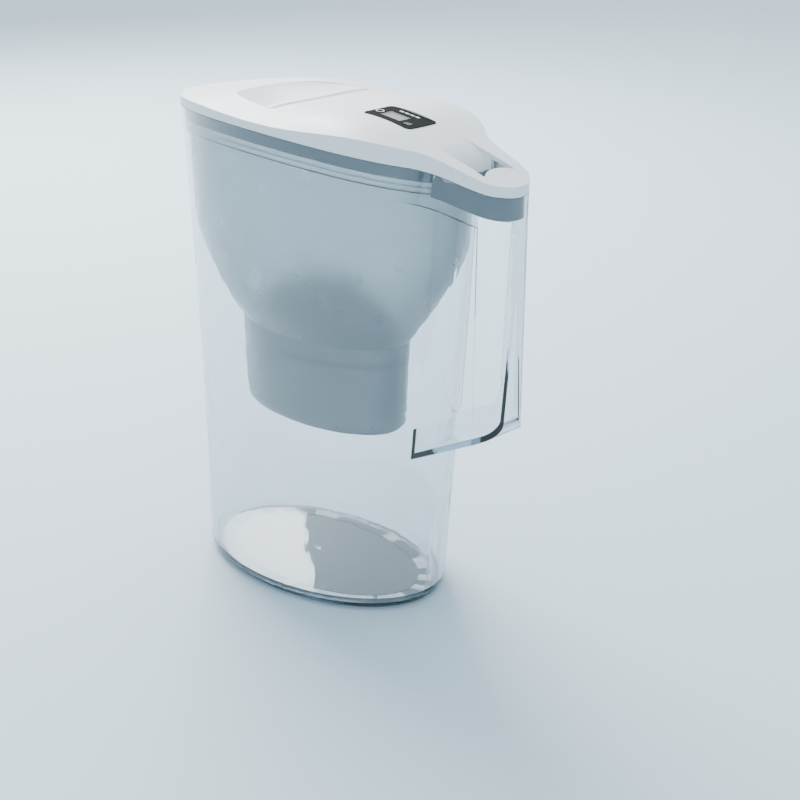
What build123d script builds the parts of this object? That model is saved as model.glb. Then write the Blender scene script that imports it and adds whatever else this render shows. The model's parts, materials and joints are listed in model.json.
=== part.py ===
"""Water filter pitcher with a flip lid, in millimetres.

The long axis is X: the pouring nose points to -X and the handle to +X.
Z is up and the jug stands on Z = 0.  The part is symmetric about Y = 0.
"""
import math
import os

from build123d import *

os.makedirs("parts", exist_ok=True)

# ---------------------------------------------------------------- main sizes
overall_length = 229.5
overall_width = 107.0
x_front = -overall_length / 2
x_rear = overall_length / 2
tool_reach = 1.3 * overall_length

# rim line seen from the side: height at the middle, tilt and droop
rim_height = 249.0
rim_tilt = 7.6
rim_droop = 11.4

# jug body: how far it stands in from the nose tip, from the handle plate and
# from the overall width, at the base, at mid height and at the rim
base_front_inset = 22.5
base_rear_inset = 55.0
base_side_inset = 2.5
mid_height = 134.0
mid_front_inset = 15.5
mid_rear_inset = 43.3
mid_side_inset = 1.3
top_height = rim_height - 4.0
top_front_inset = 4.5
top_rear_inset = 32.5
top_side_inset = 0.1

# upright tool shapes run from below the hopper flange to above the lid
prism_low = rim_height - 49.0
body_reach = rim_height + 19.0

# jug walls
jug_wall = 2.8
rim_wall = 1.4
floor_thickness = 4.0
foot_depth = 1.2
foot_ring_inset = 14.0
ledge_drop = 12.0
spout_half_width = 19.0
spout_half_depth = 8.5
spout_root_height = 140.0
spout_wall = 1.6
pour_notch_depth = 5.0
pour_notch_half_width = 9.0

# handle
rail_depth = 17.0
handle_wall = 2.4
post_half_width = 16.5
post_thickness = 11.5
post_foot_thickness = 20.0
grip_root_height = 94.0
grip_foot_height = 120.5
grip_corner_radius = 15.0
heel_root_height = 81.0
heel_height = 112.5
heel_radius = 9.0

# clearances between bodies
rest_gap = 0.3
side_gap = 0.4
skirt_gap = 0.6

# hopper
hopper_wall = 1.8
hopper_gap = 0.6
bowl_shoulder = rim_height - 55.0
flange_thickness = 2.0
lip_drop = 6.3
cup_center_x = -15.6
cup_top_height = 138.0
cup_bottom_height = 89.0
cup_half_length = 55.0
cup_half_width = 30.5
cup_draft = 2.0
cup_wall = 1.6
cup_floor = 2.0
cup_slot_pitch = 17.0

# cartridge
cartridge_gap = 0.5
cartridge_wall = 1.6
shell_slot_pitch = 11.0
mesh_thickness = 0.8
cap_dome_height = 20.0
cap_rim_thickness = 1.5
cap_end_inset = 9.0
cap_side_inset = 7.0
cap_slot_pitch = 9.0
seal_height = 128.0
ring_pin_radius = 1.2
ring_post_offset = 9.2
ring_half_length = 13.5
ring_half_width = 7.4
running_gap = 0.05

# lid
lid_wall = 1.8
lid_thickness = 2.2
skirt_wall = 1.6
skirt_drop = 5.8
lid_edge_rise = 4.4
neck_hole_front = x_rear - 28.7
neck_hole_rear = x_rear - 13.5
neck_hole_half = 11.0
neck_hole_bulge = 3.5
neck_hole_round = 16.0
nose_length = 19.0
nose_drop = 10.0
nose_wall = 1.8
neck_skirt_drop = 12.0

# flip lid
hinge_x = -20.5
flap_length = 48.5
flap_half_width = 34.0
barrel_radius = 2.8
hinge_pin_radius = 1.2
flap_gap = 0.4
flap_thickness = 2.0
dish_depth = 7.0

# change indicator, laid in the lid top
indicator_x = 37.3
indicator_length = 31.0
indicator_width = 22.0
indicator_round = 3.0
bezel_depth = 1.5
module_length = 27.4
module_width = 18.4
module_depth = 9.0
module_wall = 1.2
window_u = -3.0
button_u = 9.6
button_v = -4.6
button_travel = 0.6
panel_depth = 3.2
board_depth = 4.9
board_thickness = 0.9
cell_depth = 6.5
cell_radius = 6.2
cell_thickness = 1.6
contact_depth = 7.0
contact_width = 3.2


# ---------------------------------------------------------------- shared shapes
def blend(low, mid, high, z):
    """Smooth curve through the base, mid and rim insets, read at height z."""
    a = z / mid_height
    b = z / top_height
    k = mid_height / top_height
    at_low = (1 - a) * (1 - b)
    at_mid = a * (1 - b) / (1 - k)
    at_top = b * (1 - a) / (1 - 1 / k)
    return low * at_low + mid * at_mid + high * at_top


def body_size(z):
    """Centre x, half length and half width of the jug outline at height z."""
    front = x_front + blend(base_front_inset, mid_front_inset, top_front_inset, z)
    rear = x_rear - blend(base_rear_inset, mid_rear_inset, top_rear_inset, z)
    side = blend(base_side_inset, mid_side_inset, top_side_inset, z)
    return (front + rear) / 2, (rear - front) / 2, overall_width / 2 - side


def rim_z(x):
    """Height of the drooping rim line at x."""
    t = x / x_rear
    return rim_height - rim_tilt * t - rim_droop * t * t


def ellipse_loft(stations):
    """Solid through ellipses given as (z, centre x, half length, half width)."""
    with BuildPart() as solid:
        for z, center, length, width in stations:
            with BuildSketch(Plane.XY.offset(z)):
                with Locations((center, 0)):
                    Ellipse(length, width)
        loft()
    return solid.part


def body_solid(inset, bottom, top=body_reach):
    """The jug outline from bottom to top, drawn in by a wall thickness."""
    stations = []
    for k in range(4):
        z = bottom + (top - bottom) * k / 3
        center, length, width = body_size(z)
        stations.append((z, center, length - inset, width - inset))
    return ellipse_loft(stations)


def spout_solid(inset):
    """The pouring nose, growing out of the body wall towards the rim."""
    center, length, _ = body_size(spout_root_height)
    root_front = center - length + 2.0
    lip = rim_z(x_front) + lid_edge_rise - spout_root_height
    share = lip / (body_reach - spout_root_height)
    top_front = root_front + (x_front - root_front) / share
    root = (spout_root_height, root_front + 10, 10 - inset, 10 - inset)
    top_center = top_front + spout_half_depth
    top = (body_reach, top_center, spout_half_depth - inset, spout_half_width - inset)
    return ellipse_loft([root, top])


def neck_solid(inset, low=prism_low):
    """Upright prism of the neck and handle plate outline."""
    # distance ahead of the handle plate, and half width as a share of the whole
    sides = [(65, 0.346), (49, 0.266), (37, 0.206), (23, 0.177), (12, 0.154), (6, 0.124), (2.8, 0.084)]
    upper = [(x_rear - back - 0.4 * inset, share * overall_width - inset) for back, share in sides]
    tip = (x_rear - inset, 0)
    with BuildPart() as solid:
        with BuildSketch(Plane.XY.offset(low)):
            with BuildLine():
                side = Spline(*upper, tip, tangents=[(1, -0.55), (0, -1)])
                mirror(side, about=Plane.XZ)
                Line(upper[0], (upper[0][0], -upper[0][1]))
            make_face()
        extrude(amount=body_reach - low)
    return solid.part


def side_slab(low_drop, high_drop):
    """Everything between two copies of the rim line, dropped by two amounts."""
    xs = [x_front - 20 + (overall_length + 40) * k / 10 for k in range(11)]
    low = [(x, rim_z(x) - low_drop) for x in xs]
    high = [(x, rim_z(x) - high_drop) for x in xs]
    with BuildPart() as slab:
        with BuildSketch(Plane.XZ):
            with BuildLine():
                Spline(*low)
                Spline(*high)
                Line(low[0], high[0])
                Line(low[-1], high[-1])
            make_face()
        extrude(amount=tool_reach / 2, both=True)
    return slab.part


def crown_rise(x):
    """Height of the lid top above the rim line on the middle plane."""
    over_flap = hinge_x - flap_length / 2
    neck_start = x_rear - 55.0
    humps = 4.6 + 2.9 * math.exp(-((x - over_flap) / 42) ** 2)
    humps += 6.3 * math.exp(-((x - indicator_x) / 38) ** 2)
    return humps + 1.4 / (1 + math.exp(-(x - neck_start) / 8))


def crown_solid(lowering):
    """Everything under the gently arched lid top, lowered by an amount."""
    half = overall_width / 2 + 5
    flat = 0.62 * half
    with BuildPart() as solid:
        for k in range(12):
            x = x_front - 6 + (overall_length + 12) * k / 11
            top = rim_z(x) + crown_rise(x) - lowering
            edge = rim_z(x) + lid_edge_rise - lowering - 1.2
            plane = Plane(origin=(x, 0, 0), x_dir=(0, 1, 0), z_dir=(1, 0, 0))
            with BuildSketch(plane):
                with BuildLine():
                    Spline((-half, edge), (-flat, top - 0.5), (0, top), (flat, top - 0.5), (half, edge))
                    Polyline((half, edge), (half, prism_low), (-half, prism_low), (-half, edge))
                make_face()
        loft()
    return solid.part


def lid_outline(inset):
    """Body, pouring nose and neck outlines joined and drawn in by an inset."""
    with BuildPart() as solid:
        add(body_tall[inset])
        add(spout_tall[inset])
        add(neck_tall[inset])
    return solid.part


def fused(parts, label):
    """Give a finished piece its label and write its file."""
    parts.label = label
    export_step(parts, "parts/" + label + ".step")
    box = parts.bounding_box()
    print(label, [round(v, 2) for v in (*box.min, *box.max)], round(parts.volume, 1))


# ---------------------------------------------------------------- jug
def handle_outer(inset):
    """Side view of the post's back and the lower rail's underside, filled."""
    back = x_rear - inset
    root = (x_rear - 65, heel_root_height + 1.15 * inset)
    heel = (back - 1.2, heel_height + inset)
    crown = (back - 0.5, rim_height)
    with BuildPart() as solid:
        with BuildSketch(Plane.XZ):
            with BuildLine():
                ThreePointArc(heel, (back, (heel[1] + crown[1]) / 2), crown)
                Polyline(crown, (root[0], rim_height), root, heel)
            face = make_face()
            fillet(face.vertices().sort_by(Axis.X)[-2:].sort_by(Axis.Y)[0], radius=heel_radius)
        extrude(amount=post_half_width - inset, both=True)
        add(neck_solid(inset, heel_root_height - 10), mode=Mode.INTERSECT)
    return solid.part


def finger_gap():
    """Side view of the space for the fingers between body and post."""
    with BuildPart() as solid:
        with BuildSketch(Plane.XZ):
            with BuildLine():
                root_x = x_rear - 70
                foot = (x_rear - post_foot_thickness, grip_foot_height)
                top = (x_rear - post_thickness, rim_height)
                Polyline((root_x, rim_height), (root_x, grip_root_height), foot, top, close=True)
            face = make_face()
            fillet(face.vertices().sort_by(Axis.X)[-2], radius=grip_corner_radius)
        extrude(amount=tool_reach / 4, both=True)
    return solid.part


base_center_x, base_half_length, base_half_width = body_size(0)
body_outer = body_solid(0, 0)
body_tall = {0: body_solid(0, prism_low), lid_wall: body_solid(lid_wall, prism_low)}
spout_tall = {0: spout_solid(0), lid_wall: spout_solid(lid_wall)}
neck_tall = {0: neck_solid(0), lid_wall: neck_solid(lid_wall)}
below_rim = side_slab(400, 0)
gap_shape = finger_gap()
post_outer = handle_outer(0)
post_channel = handle_outer(handle_wall)
rail_core = neck_solid(handle_wall)
rail_slab = side_slab(rail_depth, 0)
below_rails = side_slab(400, rail_depth)
cavity_low = body_solid(jug_wall, floor_thickness)
cavity_high = body_solid(rim_wall, prism_low)
ledge_slab = side_slab(ledge_drop, -30)
spout_cavity = spout_solid(spout_wall)

with BuildPart() as rails:
    add(neck_tall[0])
    add(rail_core, mode=Mode.SUBTRACT)
    add(rail_slab, mode=Mode.INTERSECT)

with BuildPart() as post:
    add(post_outer)
    add(post_channel, mode=Mode.SUBTRACT)
    add(gap_shape, mode=Mode.SUBTRACT)
    add(below_rails, mode=Mode.INTERSECT)

with BuildPart() as rim_cavity:
    add(cavity_high)
    add(ledge_slab, mode=Mode.INTERSECT)

with BuildPart() as lower_cavity:
    add(cavity_low)
    chamfer(lower_cavity.edges().group_by(Axis.Z)[0], length=3.0)

with BuildPart() as jug:
    add(body_outer)
    fillet(jug.edges().group_by(Axis.Z)[0], radius=7.0)
    add(spout_tall[0])
    add(rails.part)
    add(post.part)
    add(lower_cavity.part, mode=Mode.SUBTRACT)
    add(spout_cavity, mode=Mode.SUBTRACT)
    add(rim_cavity.part, mode=Mode.SUBTRACT)
    add(below_rim, mode=Mode.INTERSECT)
    with BuildSketch(Plane.XY):
        with Locations((base_center_x, 0)):
            Ellipse(base_half_length - foot_ring_inset, base_half_width - foot_ring_inset)
    extrude(amount=foot_depth, mode=Mode.SUBTRACT)
    notch_z = rim_z(x_front) - pour_notch_depth
    with BuildSketch(Plane.XY.offset(notch_z)):
        with Locations((x_front + 4, 0)):
            Rectangle(16, 2 * pour_notch_half_width)
    extrude(amount=40, mode=Mode.SUBTRACT)
fused(jug.part, "jug")


# ---------------------------------------------------------------- hopper
def cup_size(z, inset):
    """Ellipse of the cartridge cup at height z, drawn in by an inset."""
    share = (cup_top_height - z) / (cup_top_height - cup_bottom_height)
    length = cup_half_length - cup_draft * share - inset
    width = cup_half_width - cup_draft * share - inset
    return z, cup_center_x, length, width


def cup_solid(inset, bottom, top):
    """The cartridge cup from bottom to top, drawn in by an inset."""
    return ellipse_loft([cup_size(bottom, inset), cup_size(top, inset)])


def bowl_solid(inset):
    """The funnel: hugging the jug above, rounding in to the cup below."""
    draw = jug_wall + hopper_gap + inset
    stations = []
    for k in range(4):
        z = body_reach - (body_reach - bowl_shoulder) * k / 4
        center, length, width = body_size(z)
        stations.append((z, center, length - draw, width - draw))
    cup = cup_size(cup_top_height, inset)
    for k in range(9):
        share = (k / 8) ** 0.7
        z = bowl_shoulder - (bowl_shoulder - cup_top_height) * share
        center, length, width = body_size(z)
        center += (cup_center_x - center) * share
        length = cup[2] + (length - draw - cup[2]) * (1 - share ** 1.5)
        width = cup[3] + (width - draw - cup[3]) * (1 - share ** 1.9)
        stations.append((z + 0.6 * inset * share, center, length, width))
    return ellipse_loft(sorted(stations))


bowl_outer = bowl_solid(0)
bowl_inner = bowl_solid(hopper_wall)
flange_outer = body_solid(rim_wall + side_gap, prism_low)
flange_inner = body_solid(rim_wall + side_gap + hopper_wall, prism_low)
bowl_below = side_slab(400, ledge_drop - rest_gap - flange_thickness)
lip_slab = side_slab(ledge_drop - rest_gap, lip_drop)
lip_hollow = side_slab(ledge_drop - rest_gap - flange_thickness, -30)
cup_outer = cup_solid(0, cup_bottom_height, cup_top_height + 2)
cup_inner = cup_solid(cup_wall, cup_bottom_height + cup_floor, cup_top_height + 12)
spout_keep = body_solid(jug_wall + hopper_gap, prism_low)

with BuildPart() as flange_ring:
    add(flange_outer)
    add(lip_slab, mode=Mode.INTERSECT)

with BuildPart() as lip_space:
    add(flange_inner)
    add(lip_hollow, mode=Mode.INTERSECT)

with BuildPart() as pour_space:
    with BuildSketch(Plane.XY.offset(prism_low)):
        with Locations((x_front + 10, 0)):
            Rectangle(34, 28)
    extrude(amount=80)
    add(spout_keep, mode=Mode.SUBTRACT)

with BuildPart() as hopper:
    add(bowl_outer)
    add(bowl_below, mode=Mode.INTERSECT)
    add(flange_ring.part)
    add(cup_outer)
    fillet(hopper.edges().group_by(Axis.Z)[0], radius=6.0)
    add(bowl_inner, mode=Mode.SUBTRACT)
    add(lip_space.part, mode=Mode.SUBTRACT)
    add(cup_inner, mode=Mode.SUBTRACT)
    add(pour_space.part, mode=Mode.SUBTRACT)
    with BuildSketch(Plane.XY.offset(cup_bottom_height - 1)):
        with Locations((cup_center_x, 0)):
            with GridLocations(cup_slot_pitch, 1, 5, 1):
                SlotOverall(24, 4, rotation=90)
    extrude(amount=cup_floor + 2, mode=Mode.SUBTRACT)
fused(hopper.part, "hopper")


# ---------------------------------------------------------------- cartridge
shell_inset = cup_wall + cartridge_gap
core_inset = shell_inset + cartridge_wall
shell_bottom = cup_bottom_height + cup_floor + cartridge_gap
shell_floor = shell_bottom + 1.6
shell_top = cup_top_height + 1.0
groove_low = seal_height - 1.4
groove_high = seal_height + 1.4
groove_inset = shell_inset + 0.8
shell_outer = cup_solid(shell_inset, shell_bottom, shell_top)
shell_core = cup_solid(core_inset, shell_floor, shell_top + 5)
groove_outer = cup_solid(0, groove_low, groove_high)
groove_inner = cup_solid(groove_inset, groove_low, groove_high)

with BuildPart() as cartridge_shell:
    add(shell_outer)
    chamfer(cartridge_shell.edges().group_by(Axis.Z)[0], length=2.5)
    add(shell_core, mode=Mode.SUBTRACT)
    with BuildSketch(Plane.XY.offset(shell_bottom - 1)):
        with Locations((cup_center_x, 0)):
            with GridLocations(shell_slot_pitch, 1, 7, 1):
                SlotOverall(30, 3, rotation=90)
    extrude(amount=4, mode=Mode.SUBTRACT)
    add(groove_outer, mode=Mode.SUBTRACT)
    add(groove_inner)
    add(shell_core, mode=Mode.SUBTRACT)
fused(cartridge_shell.part, "cartridge_shell")

with BuildPart() as seal_ring:
    add(cup_solid(cup_wall + rest_gap, groove_low, groove_high))
    add(groove_inner, mode=Mode.SUBTRACT)
fused(seal_ring.part, "seal_ring")

with BuildPart() as outlet_mesh:
    add(cup_solid(core_inset + 0.05, shell_floor, shell_floor + mesh_thickness))
fused(outlet_mesh.part, "outlet_mesh")

bed_bottom = shell_floor + mesh_thickness
bed_top = shell_top - mesh_thickness
with BuildPart() as granule_bed:
    add(cup_solid(core_inset + 0.05, bed_bottom, bed_top))
fused(granule_bed.part, "granule_bed")

with BuildPart() as inlet_mesh:
    add(cup_solid(core_inset + 0.05, bed_top, shell_top))
fused(inlet_mesh.part, "inlet_mesh")


def dome(inset):
    """Domed cover over the cartridge, with a small flat on its top."""
    stations = []
    for share in (0.0, 0.45, 0.8, 1.0):
        z = cap_foot + (cap_dome_height - inset) * share
        round_in = math.sqrt(1 - (0.87 * share) ** 2)
        length = (cup_half_length - cap_end_inset - inset) * round_in
        width = (cup_half_width - cap_side_inset - inset) * round_in
        stations.append((z, cup_center_x, length, width))
    return ellipse_loft(stations)


cap_foot = shell_top + cap_rim_thickness
cap_top = cap_foot + cap_dome_height
cap_dome = dome(0)
cap_core = dome(cartridge_wall)
ring_axis_x = cup_center_x + 13
ring_axis_z = cap_top + 2.2

with BuildPart() as cartridge_cap:
    with BuildSketch(Plane.XY.offset(shell_top)):
        with Locations((cup_center_x, 0)):
            Ellipse(cup_half_length - cup_wall - 0.6, cup_half_width - cup_wall - 0.6)
    extrude(amount=cap_rim_thickness)
    add(cap_dome)
    with BuildSketch(Plane.XY.offset(shell_top)):
        with Locations((cup_center_x, 0)):
            length = cup_half_length - cap_end_inset - cartridge_wall
            Ellipse(length, cup_half_width - cap_side_inset - cartridge_wall)
    extrude(amount=cap_rim_thickness, mode=Mode.SUBTRACT)
    add(cap_core, mode=Mode.SUBTRACT)
    with BuildSketch(Plane.XZ):
        with Locations((cup_center_x, shell_top + 9)):
            with GridLocations(cap_slot_pitch, 1, 7, 1):
                SlotOverall(10, 2.2, rotation=90)
    extrude(amount=60, both=True, mode=Mode.SUBTRACT)
    with BuildSketch(Plane.XY.offset(cap_top - 1.0)):
        with Locations((ring_axis_x, -ring_post_offset), (ring_axis_x, ring_post_offset)):
            Rectangle(5, 2.4)
    extrude(amount=ring_axis_z + 2.5 - cap_top + 1.0)
    with Locations(Location((ring_axis_x, 0, ring_axis_z), (90, 0, 0))):
        Cylinder(ring_pin_radius + running_gap, 40, mode=Mode.SUBTRACT)
fused(cartridge_cap.part, "cartridge_cap")

with BuildPart() as pull_ring:
    with BuildSketch(Plane.XY.offset(ring_axis_z - 1.1)):
        with Locations((ring_axis_x - 12, 0)):
            Ellipse(ring_half_length, ring_half_width)
            Ellipse(ring_half_length - 3.2, ring_half_width - 2.8, mode=Mode.SUBTRACT)
    extrude(amount=2.4)
    with BuildSketch(Plane.XZ):
        with Locations((ring_axis_x, ring_axis_z)):
            Circle(1.7)
    extrude(amount=ring_half_width, both=True)
    with BuildSketch(Plane.XZ):
        with Locations((ring_axis_x, ring_axis_z)):
            Circle(ring_pin_radius)
    extrude(amount=10.2, both=True)
fused(pull_ring.part, "pull_ring")


# ---------------------------------------------------------------- lid
def hinge_height():
    """Height of the flip lid's hinge line, just under the lid top."""
    return rim_z(hinge_x) + crown_rise(hinge_x) - barrel_radius - 0.2


def flap_solid(shrink, bottom=prism_low, top=body_reach):
    """Prism of the flip lid: half an ellipse with a straight hinge side."""
    with BuildPart() as solid:
        with BuildSketch(Plane.XY.offset(bottom)):
            with Locations((hinge_x, 0)):
                Ellipse(flap_length - shrink, flap_half_width - shrink)
            with Locations((hinge_x + tool_reach / 2, 0)):
                Rectangle(tool_reach, tool_reach, mode=Mode.SUBTRACT)
        extrude(amount=top - bottom)
    return solid.part


def dish_solid(lowering):
    """Shallow bowl pressed into the flip lid, ending at the straight crease."""
    crease_x = hinge_x - barrel_radius
    angle = math.radians(35)
    length = (flap_length - barrel_radius - 1.5) / math.sin(angle)
    width = (flap_half_width - 1.2) / math.sin(angle)
    depth = dish_depth / (1 - math.cos(angle))
    top = hinge_z + barrel_radius + 0.1
    with BuildPart() as solid:
        Sphere(10)
        scale(by=(length / 10, width / 10, depth / 10))
    ball = solid.part.moved(Location((crease_x, 0, top + depth * math.cos(angle) - lowering)))
    with BuildPart() as cut:
        add(ball)
        with BuildSketch(Plane.XY.offset(prism_low)):
            with Locations((crease_x + lowering + tool_reach / 2, 0)):
                Rectangle(tool_reach, tool_reach)
        extrude(amount=tool_reach, mode=Mode.SUBTRACT)
    return cut.part


hinge_z = hinge_height()
module_z = rim_z(indicator_x) + crown_rise(indicator_x) - 0.8
module_front = rim_z(indicator_x - 12) + crown_rise(indicator_x - 12)
module_back = rim_z(indicator_x + 12) + crown_rise(indicator_x + 12)
module_tilt = math.atan2(module_front - module_back, 24)
module_axis = (math.sin(module_tilt), 0, math.cos(module_tilt))
module_along = (math.cos(module_tilt), 0, -math.sin(module_tilt))
module_plane = Plane(origin=(indicator_x, 0, module_z), x_dir=module_along, z_dir=module_axis)


def nose_profile(forward, down):
    """Side view of the lid top rolling down into the neck hole, and above it."""
    front = neck_hole_front - nose_length
    points = []
    for k in range(7):
        share = math.sin(math.radians(15 * k))
        fall = nose_drop * (1 - (1 - share ** 2.5) ** 0.4)
        x = front + nose_length * share
        points.append((x - forward, rim_z(x) + crown_rise(x) - fall - down))
    with BuildPart() as solid:
        with BuildSketch(Plane.XZ):
            with BuildLine():
                Spline(*points)
                end_x = neck_hole_front + 1.0
                start_up = (points[0][0], body_reach)
                Polyline(points[0], start_up, (end_x, body_reach), (end_x, points[-1][1]), points[-1])
            make_face()
        extrude(amount=neck_hole_half + (nose_wall if down else 0), both=True)
    return solid.part


def rear_wall(z):
    """Place of the jug's rear wall at height z, which leans out towards the rim."""
    center, length, _ = body_size(z)
    return center + length


rear_lean = rear_wall(top_height) - rear_wall(top_height - neck_skirt_drop)
outline_outer = lid_outline(0)
outline_inner = lid_outline(lid_wall)
crown_outer = crown_solid(0)
crown_inner = crown_solid(lid_thickness)
crown_rib = crown_solid(1.0)
above_rim = side_slab(-rest_gap, -60)
flap_opening = flap_solid(0)
flap_collar = flap_solid(-1.6, hinge_z - 4.5)
flap_seat = flap_solid(1.6, hinge_z - 5.0, hinge_z + 20)
seat_top = flap_solid(0, hinge_z - 0.6, hinge_z + 20)

with BuildPart() as lid_hollow:
    add(outline_inner)
    add(crown_inner, mode=Mode.INTERSECT)

with BuildPart() as flap_frame:
    add(flap_collar)
    with BuildSketch(Plane.XY.offset(hinge_z - 4.5)):
        with Locations((hinge_x + 1.6, 0)):
            Rectangle(8, 2 * flap_half_width + 11)
    extrude(amount=20)
    add(crown_rib, mode=Mode.INTERSECT)

with BuildPart() as neck_skirt:
    add(neck_solid(handle_wall + skirt_gap))
    add(neck_solid(handle_wall + skirt_gap + skirt_wall), mode=Mode.SUBTRACT)
    add(body_solid(-skirt_gap - rear_lean, prism_low), mode=Mode.SUBTRACT)
    add(crown_rib, mode=Mode.INTERSECT)
    add(side_slab(neck_skirt_drop, -60), mode=Mode.INTERSECT)

with BuildPart() as nose_block:
    add(nose_profile(nose_wall, nose_wall))
    add(crown_rib, mode=Mode.INTERSECT)

with BuildPart() as lid_shell:
    add(outline_outer)
    add(crown_outer, mode=Mode.INTERSECT)
    add(above_rim, mode=Mode.INTERSECT)
    add(lid_hollow.part, mode=Mode.SUBTRACT)
    add(flap_frame.part)
    add(neck_skirt.part)
    add(nose_block.part)
    add(nose_profile(0, 0), mode=Mode.SUBTRACT)
    with BuildSketch(module_plane.offset(-1)):
        RectangleRounded(indicator_length + 3, indicator_width + 3, indicator_round + 1)
    extrude(amount=-2.4)
    add(seat_top, mode=Mode.SUBTRACT)
    add(flap_seat, mode=Mode.SUBTRACT)
    barrel_box = barrel_radius + flap_gap + 0.2
    with BuildSketch(Plane.XY.offset(hinge_z - barrel_box)):
        with Locations((hinge_x, 0)):
            Rectangle(2 * barrel_box, 2 * flap_half_width)
    extrude(amount=20, mode=Mode.SUBTRACT)
    with Locations(Location((hinge_x, 0, hinge_z), (90, 0, 0))):
        Cylinder(hinge_pin_radius, 2 * flap_half_width + 9.6, mode=Mode.SUBTRACT)
    with BuildSketch(Plane.XY.offset(prism_low)) as neck_hole:
        with Locations(((neck_hole_front + neck_hole_rear) / 2, 0)):
            Rectangle(neck_hole_rear - neck_hole_front, 2 * neck_hole_half)
        with Locations((neck_hole_rear - neck_hole_bulge + neck_hole_round, 0)):
            Circle(neck_hole_round, mode=Mode.SUBTRACT)
    extrude(amount=80, mode=Mode.SUBTRACT)
    with BuildSketch(module_plane.offset(-bezel_depth)):
        RectangleRounded(indicator_length + 0.2, indicator_width + 0.2, indicator_round + 0.1)
    extrude(amount=8, mode=Mode.SUBTRACT)
    with BuildSketch(module_plane.offset(2)):
        RectangleRounded(module_length + 0.1, module_width + 0.1, 2.0)
    extrude(amount=-8, mode=Mode.SUBTRACT)
fused(lid_shell.part, "lid_shell")

skirt_upper = body_solid(lid_wall, prism_low)
skirt_lower = body_solid(rim_wall + skirt_gap, prism_low)
skirt_inner = body_solid(rim_wall + skirt_gap + skirt_wall, prism_low)

with BuildPart() as skirt_band:
    add(skirt_upper)
    add(side_slab(-0.6, -1.8), mode=Mode.INTERSECT)

with BuildPart() as lid_skirt:
    add(skirt_lower)
    add(side_slab(skirt_drop, -1.8), mode=Mode.INTERSECT)
    add(skirt_band.part)
    add(skirt_inner, mode=Mode.SUBTRACT)
    with BuildSketch(Plane.XY.offset(prism_low)):
        with Locations((x_front + 12, 0)):
            Rectangle(40, 30)
    extrude(amount=80, mode=Mode.SUBTRACT)
fused(lid_skirt.part, "lid_skirt")

with BuildPart() as hinge_pins:
    with BuildSketch(Plane.XZ.offset(flap_half_width - 3.6)):
        with Locations((hinge_x, hinge_z)):
            Circle(hinge_pin_radius)
    extrude(amount=8.2)
    mirror(about=Plane.XZ)
fused(hinge_pins.part, "hinge_pins")


# ---------------------------------------------------------------- flip lid
flap_prism = flap_solid(flap_gap)
crown_under = crown_solid(flap_thickness)
dish_top = dish_solid(0)
dish_under = dish_solid(flap_thickness)

with BuildPart() as flap_plate:
    add(flap_prism)
    add(crown_outer, mode=Mode.INTERSECT)
    add(crown_under, mode=Mode.SUBTRACT)

with BuildPart() as flap_dish:
    add(flap_prism)
    add(crown_outer, mode=Mode.INTERSECT)
    add(dish_under, mode=Mode.INTERSECT)

with BuildPart() as flip_lid:
    add(flap_plate.part)
    add(flap_dish.part)
    with BuildSketch(Plane.XZ.offset(-(flap_half_width - flap_gap - 0.2))):
        with Locations((hinge_x, hinge_z)):
            Circle(barrel_radius)
    extrude(amount=2 * (flap_half_width - flap_gap - 0.2))
    add(dish_top, mode=Mode.SUBTRACT)
    with BuildSketch(Plane.XZ.offset(flap_half_width - 4.2)):
        with Locations((hinge_x, hinge_z)):
            Circle(hinge_pin_radius + running_gap)
    extrude(amount=10, mode=Mode.SUBTRACT)
    with BuildSketch(Plane.XZ.offset(-(flap_half_width - 4.2))):
        with Locations((hinge_x, hinge_z)):
            Circle(hinge_pin_radius + running_gap)
    extrude(amount=-10, mode=Mode.SUBTRACT)
fused(flip_lid.part, "flip_lid")


# ---------------------------------------------------------------- change indicator
with BuildPart() as indicator_bezel:
    with BuildSketch(module_plane.offset(-bezel_depth)):
        RectangleRounded(indicator_length, indicator_width, indicator_round)
    extrude(amount=bezel_depth + 0.3)
    with BuildSketch(module_plane.offset(-bezel_depth)):
        with Locations((window_u, 0)):
            RectangleRounded(14, 9, 1.0)
        with Locations((button_u, button_v)):
            RectangleRounded(5.0, 3.8, 1.0)
    extrude(amount=4, mode=Mode.SUBTRACT)
    with BuildSketch(module_plane.offset(-bezel_depth)):
        with Locations((window_u, 0)):
            RectangleRounded(16.4, 11.4, 1.2)
    extrude(amount=0.8, mode=Mode.SUBTRACT)
fused(indicator_bezel.part, "indicator_bezel")

with BuildPart() as indicator_window:
    with BuildSketch(module_plane.offset(-bezel_depth + 0.05)):
        with Locations((window_u, 0)):
            RectangleRounded(16.2, 11.2, 1.1)
    extrude(amount=0.75)
    with BuildSketch(module_plane.offset(-bezel_depth + 0.6)):
        with Locations((window_u, 0)):
            RectangleRounded(13.9, 8.9, 0.95)
    extrude(amount=1.0)
fused(indicator_window.part, "indicator_window")

with BuildPart() as start_button:
    with BuildSketch(module_plane.offset(button_travel - panel_depth)):
        with Locations((button_u, button_v)):
            RectangleRounded(5.4, 4.2, 1.1)
    extrude(amount=0.8)
    with BuildSketch(module_plane.offset(-2.0)):
        with Locations((button_u, button_v)):
            RectangleRounded(4.4, 3.2, 0.8)
    extrude(amount=2.5)
fused(start_button.part, "start_button")

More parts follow.
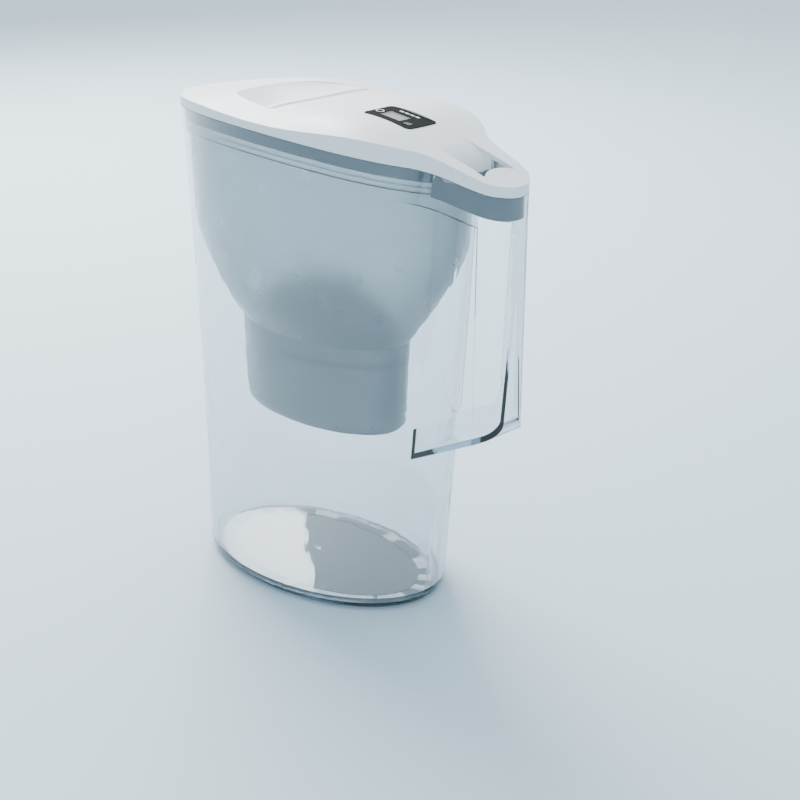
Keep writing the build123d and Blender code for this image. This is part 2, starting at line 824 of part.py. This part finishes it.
with BuildPart() as indicator_cup:
    with BuildSketch(module_plane.offset(-bezel_depth)):
        RectangleRounded(module_length, module_width, 2.0)
    extrude(amount=-(module_depth - bezel_depth))
    with BuildSketch(module_plane.offset(-bezel_depth)):
        RectangleRounded(module_length - 2 * module_wall, module_width - 2 * module_wall, 1.0)
    extrude(amount=-(module_depth - bezel_depth - module_wall), mode=Mode.SUBTRACT)
    with BuildSketch(module_plane.offset(-board_depth)):
        with Locations((11.9, 7.4), (11.9, -7.4), (-11.9, 7.4), (-11.9, -7.4)):
            Rectangle(1.6, 1.6)
    extrude(amount=-3.6)
fused(indicator_cup.part, "indicator_cup")

with BuildPart() as lcd_panel:
    with BuildSketch(module_plane.offset(-panel_depth)):
        with Locations((window_u, 0)):
            Rectangle(18, 13)
    extrude(amount=1.6)
    with BuildSketch(module_plane.offset(-panel_depth)):
        with Locations((window_u, -6.2)):
            Rectangle(18, 1.8)
    extrude(amount=0.8)
fused(lcd_panel.part, "lcd_panel")

with BuildPart() as circuit_board:
    with BuildSketch(module_plane.offset(-board_depth)):
        RectangleRounded(module_length - 2 * module_wall - 0.4, module_width - 2 * module_wall - 0.4, 0.8)
    extrude(amount=board_thickness)
    with BuildSketch(module_plane.offset(board_thickness - board_depth)):
        with Locations((window_u, 3.4), (window_u, -3.4)):
            Rectangle(15, 1.4)
    extrude(amount=0.8)
    with BuildSketch(module_plane.offset(-board_depth)):
        with Locations((9.0, 3.4), (9.0, -0.4)):
            Rectangle(2.4, 2.0)
    extrude(amount=-0.9)
fused(circuit_board.part, "circuit_board")

with BuildPart() as coin_cell:
    with BuildSketch(module_plane.offset(-cell_depth)):
        with Locations((-4.6, 0)):
            Circle(cell_radius)
    extrude(amount=cell_thickness)
fused(coin_cell.part, "coin_cell")

with BuildPart() as cell_contact:
    with BuildSketch(module_plane.offset(-contact_depth)):
        with Locations((-0.2, 0)):
            Rectangle(12.6, contact_width)
    extrude(amount=contact_depth - cell_depth)
    with BuildSketch(module_plane.offset(-contact_depth)):
        with Locations((5.0, 0)):
            Rectangle(2.2, contact_width)
    extrude(amount=contact_depth - board_depth)
fused(cell_contact.part, "cell_contact")
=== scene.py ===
"""Slim water filter pitcher with a flip lid, dressed for its picture.

Lengths are in metres.  The nose points to -X, the handle to +X and Z is up.
"""

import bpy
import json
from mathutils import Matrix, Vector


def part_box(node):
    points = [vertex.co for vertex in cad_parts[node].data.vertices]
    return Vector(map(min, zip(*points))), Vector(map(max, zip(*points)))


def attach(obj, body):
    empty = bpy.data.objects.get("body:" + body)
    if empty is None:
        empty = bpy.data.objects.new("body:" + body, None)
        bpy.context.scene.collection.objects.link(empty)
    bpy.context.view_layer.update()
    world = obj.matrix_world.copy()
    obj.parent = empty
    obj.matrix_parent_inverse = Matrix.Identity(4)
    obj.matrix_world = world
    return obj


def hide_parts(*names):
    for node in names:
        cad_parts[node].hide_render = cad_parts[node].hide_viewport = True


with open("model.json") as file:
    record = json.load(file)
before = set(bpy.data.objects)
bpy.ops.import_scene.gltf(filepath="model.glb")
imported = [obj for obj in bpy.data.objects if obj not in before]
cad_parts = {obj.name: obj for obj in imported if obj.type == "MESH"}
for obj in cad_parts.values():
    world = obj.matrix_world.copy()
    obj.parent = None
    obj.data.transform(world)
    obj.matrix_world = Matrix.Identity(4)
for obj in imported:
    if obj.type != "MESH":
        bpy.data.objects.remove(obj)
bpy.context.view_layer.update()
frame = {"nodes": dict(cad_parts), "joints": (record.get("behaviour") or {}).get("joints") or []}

import json
import math

import bpy
from mathutils import Matrix, Vector

# ---------------------------------------------------------------- camera
# The photograph looks down on the handle end from the pitcher's near side,
# through a long lens, with the pitcher standing left of the picture's middle.
camera_azimuth = math.radians(45.45)
camera_height_angle = math.radians(19.62)
camera_distance = 0.9073
picture_size = 800.0
focal_pixels = 1724.9
pitcher_column = 344.5
pitcher_row = 341.9
aim = Vector((-0.00125, 0.0, 0.130))
toward_camera = Vector((
    math.sin(camera_azimuth) * math.cos(camera_height_angle),
    -math.cos(camera_azimuth) * math.cos(camera_height_angle),
    math.sin(camera_height_angle),
))
lens = bpy.data.cameras.new("camera")
lens.sensor_width = 36.0
lens.lens = focal_pixels * lens.sensor_width / picture_size
lens.shift_x = 0.5 - pitcher_column / picture_size
lens.shift_y = pitcher_row / picture_size - 0.5
camera = bpy.data.objects.new("camera", lens)
camera.location = aim + toward_camera * camera_distance
camera.rotation_euler = toward_camera.to_track_quat("Z", "Y").to_euler()
bpy.context.collection.objects.link(camera)
bpy.context.scene.camera = camera


# ---------------------------------------------------------------- floor and light
# A pale matt floor in a small studio.  A large lamp behind on the nose side
# gives the lid its bright end, and dim surroundings at both sides draw the
# edges of the clear walls.
def linear(hex_colour):
    """An sRGB hex colour as linear red, green, blue and alpha."""
    channels = [int(hex_colour[k:k + 2], 16) / 255 for k in (1, 3, 5)]
    low = [c / 12.92 if c <= 0.04045 else ((c + 0.055) / 1.055) ** 2.4 for c in channels]
    return (*low, 1.0)


def new_node(material, kind, settings=None, **links):
    """Adds one node to a material; links name its inputs and their sources."""
    node = material.node_tree.nodes.new(kind)
    for name, value in (settings or {}).items():
        if hasattr(node, name):
            setattr(node, name, value)
        else:
            node.inputs[name].default_value = value
    for name, source in links.items():
        material.node_tree.links.new(source, node.inputs[name.replace("_", " ")])
    return node


def new_finish(name, colour, **settings):
    """A material with one shader; the settings are the shader's own sockets."""
    material = bpy.data.materials.new(name)
    material.use_nodes = True
    shader = material.node_tree.nodes["Principled BSDF"]
    shader.inputs["Base Color"].default_value = linear(colour)
    for socket, value in settings.items():
        shader.inputs[socket.replace("_", " ")].default_value = value
    return material


def deselect_all():
    """Clears the selection, which an operator would act on."""
    bpy.ops.object.select_all(action="DESELECT")


deselect_all()
floor_width = 12.0
bpy.ops.mesh.primitive_plane_add(size=floor_width, location=(0.0, 0.0, 0.0))
floor = bpy.context.object
floor.name = "floor"
floor_paint = new_finish("pale matt floor paint", "#d3e6f1", Roughness=0.7)
floor.data.materials.append(floor_paint)

world = bpy.data.worlds.new("studio")
world.use_nodes = True
background = world.node_tree.nodes["Background"]
room_brightness = 2.0
background.inputs["Strength"].default_value = room_brightness
bpy.context.scene.world = world
bright_side = (-0.55, 0.45, 0.70)
dark_sides = (0.70, 0.71, 0.0)
direction = new_node(world, "ShaderNodeTexCoord").outputs["Generated"]
facing = new_node(world, "ShaderNodeVectorMath", {"operation": "DOT_PRODUCT"}, Vector=direction)
facing.inputs[1].default_value = bright_side
beside = new_node(world, "ShaderNodeVectorMath", {"operation": "DOT_PRODUCT"}, Vector=direction)
beside.inputs[1].default_value = dark_sides
turned_away = new_node(world, "ShaderNodeMath", {"operation": "ABSOLUTE"}, Value=beside.outputs["Value"])
light_there = new_node(world, "ShaderNodeMath", {"operation": "SUBTRACT"}, Value=facing.outputs["Value"])
world.node_tree.links.new(turned_away.outputs["Value"], light_there.inputs[1])
share = new_node(
    world, "ShaderNodeMapRange", {"From Min": -1.2, "From Max": 1.0}, Value=light_there.outputs["Value"],
)
room_light = new_node(world, "ShaderNodeValToRGB", None, Fac=share.outputs["Result"])
room_light.color_ramp.elements[0].color = linear("#34495a")
room_light.color_ramp.elements[1].color = linear("#ffffff")
room_light.color_ramp.elements.new(0.5).color = linear("#bcd2df")
world.node_tree.links.new(room_light.outputs["Color"], background.inputs["Color"])


def soft_light(name, place, size, power, colour):
    """A square area light aimed at the middle of the pitcher."""
    lamp = bpy.data.lights.new(name, "AREA")
    lamp.size = size
    lamp.energy = power
    lamp.color = linear(colour)[:3]
    light = bpy.data.objects.new(name, lamp)
    light.location = place
    light.rotation_euler = (Vector(place) - aim).to_track_quat("Z", "Y").to_euler()
    bpy.context.collection.objects.link(light)


soft_light("key", (-1.1, 0.5, 1.0), 0.9, 42.0, "#ffffff")
soft_light("fill", (1.2, -0.8, 0.7), 0.9, 4.0, "#e6f1fa")


# ---------------------------------------------------------------- jug
# The outer jug: one clear moulding with its foot, nose, rails and open handle
# post.  Styrene-acrylonitrile, injection moulded and polished: crystal clear,
# with a cold grey-blue tint that gathers along the edges.

def surface_grain(material, grain_mm, height_mm, dull, shiny):
    """Gives a finish its fine grain: small bumps and a roughness that wanders."""
    links = material.node_tree.links
    shader = material.node_tree.nodes["Principled BSDF"]
    place = new_node(material, "ShaderNodeTexCoord").outputs["Object"]
    grain = new_node(material, "ShaderNodeTexNoise", {"Scale": 1000.0 / grain_mm, "Detail": 2.0}, Vector=place)
    bump = new_node(material, "ShaderNodeBump", {"Distance": height_mm / 1000.0}, Height=grain.outputs["Fac"])
    links.new(bump.outputs["Normal"], shader.inputs["Normal"])
    patches = new_node(material, "ShaderNodeTexNoise", {"Scale": 60.0, "Detail": 3.0}, Vector=place)
    rough = new_node(
        material, "ShaderNodeMapRange",
        {"From Min": 0.3, "From Max": 0.7, "To Min": shiny, "To Max": dull}, Value=patches.outputs["Fac"],
    )
    links.new(rough.outputs["Result"], shader.inputs["Roughness"])


def dress(material, *nodes):
    """Gives CAD nodes a material."""
    for name in nodes:
        body = frame["nodes"][name]
        body.data.materials.clear()
        body.data.materials.append(material)


clear_plastic = new_finish(
    "polished clear styrene acrylonitrile", "#fbfdfe",
    Roughness=0.02, IOR=1.57, Transmission_Weight=1.0,
)
surface_grain(clear_plastic, 14.0, 0.004, 0.04, 0.01)
edge_tint = new_node(
    clear_plastic, "ShaderNodeVolumeAbsorption", {"Color": linear("#8fb2c5"), "Density": 55.0},
)
clear_plastic.node_tree.links.new(
    edge_tint.outputs["Volume"],
    clear_plastic.node_tree.nodes["Material Output"].inputs["Volume"],
)
dress(clear_plastic, "jug")

# ---------------------------------------------------------------- hopper
# The funnel that hangs in the jug's rim and holds the cartridge in its cup.
# Natural polypropylene, injection moulded: milky, and it blurs what is behind.
frosted_plastic = new_finish(
    "natural moulded polypropylene", "#f2f9fc",
    Roughness=0.3, IOR=1.49, Transmission_Weight=0.8,
)
surface_grain(frosted_plastic, 0.6, 0.006, 0.36, 0.26)
dress(frosted_plastic, "hopper")

# ---------------------------------------------------------------- cartridge
# The oval filter cartridge: a white polypropylene shell and vented cap, a
# rubber ring in its groove and woven meshes above and below the beads.
white_moulding = new_finish("white moulded polypropylene", "#e3e9ec", Roughness=0.4, IOR=1.49)
surface_grain(white_moulding, 0.5, 0.01, 0.46, 0.36)
grey_rubber = new_finish("grey silicone rubber", "#9aa3a8", Roughness=0.6, IOR=1.41)
surface_grain(grey_rubber, 0.3, 0.01, 0.65, 0.55)
dress(white_moulding, "cartridge_shell", "cartridge_cap", "pull_ring")
dress(grey_rubber, "seal_ring")

# The meshes are woven nylon, drawn with 0.6 mm threads so that they show.
thread_pitch = 0.0006
wave_per_scale = 0.314    # length of one band of the wave pattern at a scale of 1
woven_mesh = new_finish("woven nylon mesh", "#dfe3e4", Roughness=0.8, IOR=1.53)
mesh_place = new_node(woven_mesh, "ShaderNodeTexCoord").outputs["Object"]
threads = [
    new_node(
        woven_mesh, "ShaderNodeTexWave",
        {"bands_direction": bands, "Scale": wave_per_scale / thread_pitch}, Vector=mesh_place,
    ).outputs["Fac"]
    for bands in ("X", "Y")
]
weave = new_node(woven_mesh, "ShaderNodeMath", {"operation": "MAXIMUM"})
for socket, thread in zip(weave.inputs, threads):
    woven_mesh.node_tree.links.new(thread, socket)
weave_bump = new_node(woven_mesh, "ShaderNodeBump", {"Distance": 0.0002}, Height=weave.outputs["Value"])
woven_mesh.node_tree.links.new(
    weave_bump.outputs["Normal"], woven_mesh.node_tree.nodes["Principled BSDF"].inputs["Normal"],
)
dress(woven_mesh, "outlet_mesh", "inlet_mesh")

# The bed is black carbon grit mixed with pale resin beads, about 0.8 mm each.
bead_size = 0.0008
filter_beads = new_finish("carbon and resin beads", "#4a4640", Roughness=0.7)
bead_place = new_node(filter_beads, "ShaderNodeTexCoord").outputs["Object"]
beads = new_node(filter_beads, "ShaderNodeTexVoronoi", {"Scale": 1.0 / bead_size}, Vector=bead_place)
bead_bump = new_node(
    filter_beads, "ShaderNodeBump", {"Distance": bead_size / 2, "invert": True},
    Height=beads.outputs["Distance"],
)
bead_colours = new_node(filter_beads, "ShaderNodeValToRGB", None, Fac=beads.outputs["Color"])
bead_colours.color_ramp.interpolation = "CONSTANT"
bead_colours.color_ramp.elements[0].color = linear("#23211f")
bead_colours.color_ramp.elements[1].position = 0.55
bead_colours.color_ramp.elements[1].color = linear("#b48a52")
bead_shader = filter_beads.node_tree.nodes["Principled BSDF"]
filter_beads.node_tree.links.new(bead_colours.outputs["Color"], bead_shader.inputs["Base Color"])
filter_beads.node_tree.links.new(bead_bump.outputs["Normal"], bead_shader.inputs["Normal"])
dress(filter_beads, "granule_bed")

# ---------------------------------------------------------------- lid
# The lid: a gently arched cover with its collar that drops into the rim.
# White ABS, moulded in a finely eroded tool, so that it has a satin skin. The collar and skirt below the rim
# are the same white ABS painted a cool grey as painted shade, for the shadow under the lid's edge seen through
# the clear rim.
satin_white = new_finish("satin white ABS", "#f4f6f8", Roughness=0.38, IOR=1.54)
surface_grain(satin_white, 0.35, 0.008, 0.42, 0.34)
painted_shade_grey = new_finish("white ABS painted grey as shade", "#788893", Roughness=0.45, IOR=1.54)
surface_grain(painted_shade_grey, 0.35, 0.008, 0.5, 0.42)
rim_height = 0.249
rim_tilt = 0.0076
rim_droop = 0.0114
half_length = 0.11475


def rim_line(x):
    """Height of the jug's drooping rim at x."""
    along = x / half_length
    return rim_height - rim_tilt * along - rim_droop * along * along


deselect_all()
smooth_below = math.radians(30.0)
weld_distance = 1e-6
painted_shade_starts_below_rim = 0.0003
lid = bpy.data.objects.new("lid_with_painted_shade", frame["nodes"]["lid_shell"].data.copy())
bpy.context.collection.objects.link(lid)
lid.select_set(True)
bpy.context.view_layer.objects.active = lid
bpy.ops.mesh.customdata_custom_splitnormals_clear()
bpy.ops.object.mode_set(mode="EDIT")
bpy.ops.mesh.select_all(action="SELECT")
bpy.ops.mesh.remove_doubles(threshold=weld_distance)
bpy.ops.object.mode_set(mode="OBJECT")
bpy.ops.object.shade_smooth_by_angle(angle=smooth_below)
bpy.ops.object.modifier_add(type="WEIGHTED_NORMAL")
lid.modifiers[-1].keep_sharp = True
bpy.ops.object.modifier_apply(modifier=lid.modifiers[-1].name)
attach(lid, "lid_body")
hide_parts("lid_shell")
lid.data.materials.clear()
lid.data.materials.append(satin_white)
lid.data.materials.append(painted_shade_grey)
# Faces of the lid's collar below the rim line take the grey: painted shade under the lid's edge.
for face in lid.data.polygons:
    if face.center.z < rim_line(face.center.x) - painted_shade_starts_below_rim:
        face.material_index = 1
# The skirt inside the rim gets the same grey, also painted shade.
dress(painted_shade_grey, "lid_skirt")

# ---------------------------------------------------------------- flip lid
# The filling flap with its pressed dish, in the lid's white ABS, turning on
# two polished steel pins.
dress(satin_white, "flip_lid")
steel_pin = new_finish("polished steel pin", "#c9ccce", Metallic=1.0, Roughness=0.25)
surface_grain(steel_pin, 0.2, 0.002, 0.3, 0.2)
dress(steel_pin, "hinge_pins")

# ---------------------------------------------------------------- change indicator
# A small timer laid in the lid top.  Its bezel is black satin ABS round a clear
# acrylic window over a grey liquid crystal panel, with a soft silicone button;
# the board and the cell lie in a cup below it.
black_satin = new_finish(
    "black satin ABS", "#0d0f11", Roughness=0.35, IOR=1.54, Specular_IOR_Level=0.01,
)
surface_grain(black_satin, 0.4, 0.003, 0.4, 0.3)
window_plastic = new_finish(
    "clear acrylic window", "#eef2f4", Roughness=0.05, IOR=1.49, Transmission_Weight=1.0,
)
crystal_panel = new_finish("liquid crystal panel", "#7a8288", Roughness=0.3)
surface_grain(crystal_panel, 0.3, 0.002, 0.34, 0.26)
soft_black = new_finish("black silicone button", "#24282b", Roughness=0.55, IOR=1.41)
surface_grain(soft_black, 0.3, 0.01, 0.6, 0.5)
green_board = new_finish("green lacquered board", "#1f6b3f", Roughness=0.4)
surface_grain(green_board, 0.8, 0.02, 0.45, 0.35)
bare_steel = new_finish("nickel plated steel", "#b9bcbe", Metallic=1.0, Roughness=0.35)
surface_grain(bare_steel, 0.2, 0.004, 0.4, 0.3)
dress(black_satin, "indicator_bezel")
dress(window_plastic, "indicator_window")
dress(crystal_panel, "lcd_panel")
dress(soft_black, "start_button")
dress(satin_white, "indicator_cup")
dress(green_board, "circuit_board")
dress(bare_steel, "coin_cell", "cell_contact")

# The marks printed on the bezel: four month bars along the far side and a
# round sign at the front end, in white ink thick enough to feel.
print_ink = new_finish("white screen print ink", "#e8ecee", Roughness=0.5)
surface_grain(print_ink, 0.2, 0.004, 0.55, 0.45)
press_axis = next(j["axis"] for j in frame["joints"] if j["name"] == "start_button_press")
face_up = -Vector(press_axis).normalized()
face_along = Vector((0.0, 1.0, 0.0)).cross(face_up)
bezel_low, bezel_high = (Vector(corner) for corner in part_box("indicator_bezel"))
bezel_half_thickness = 0.0009
face_centre = (bezel_low + bezel_high) / 2 + face_up * bezel_half_thickness
face_turn = Matrix((face_along, Vector((0.0, 1.0, 0.0)), face_up)).transposed()
ink_thickness = 0.00006
ink_edge_round = ink_thickness * 0.6


def set_on_face(piece, along, across):
    """Turns a flat piece onto the bezel and fixes its place in its mesh."""
    piece.location = face_centre + face_along * along + Vector((0.0, across, 0.0))
    piece.rotation_euler = face_turn.to_euler()
    bpy.ops.object.transform_apply(location=True, rotation=True, scale=True)
    piece.data.materials.append(print_ink)
    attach(piece, "lid_body")


bar_length = 0.0026
bar_width = 0.0013
bars_across = 0.0076
for count, along in enumerate((-0.0060, -0.0025, 0.0010, 0.0045)):
    deselect_all()
    bpy.ops.mesh.primitive_cube_add(size=1.0)
    bar = bpy.context.object
    bar.name = "month_bar_" + str(count + 1)
    bar.scale = (bar_length, bar_width, 2 * ink_thickness)
    bpy.ops.object.transform_apply(location=False, rotation=False, scale=True)
    bpy.ops.object.mode_set(mode="EDIT")
    bpy.ops.mesh.select_all(action="SELECT")
    bpy.ops.mesh.bevel(offset=ink_edge_round, segments=2)
    bpy.ops.object.mode_set(mode="OBJECT")
    set_on_face(bar, along, bars_across)

deselect_all()
bpy.ops.mesh.primitive_torus_add(
    major_radius=0.0019, minor_radius=0.0003, major_segments=40, minor_segments=8,
)
ring_sign = bpy.context.object
ring_sign.name = "round_sign"
ring_sign.scale = (1.0, 1.0, 0.3)
set_on_face(ring_sign, -0.0127, -0.001)
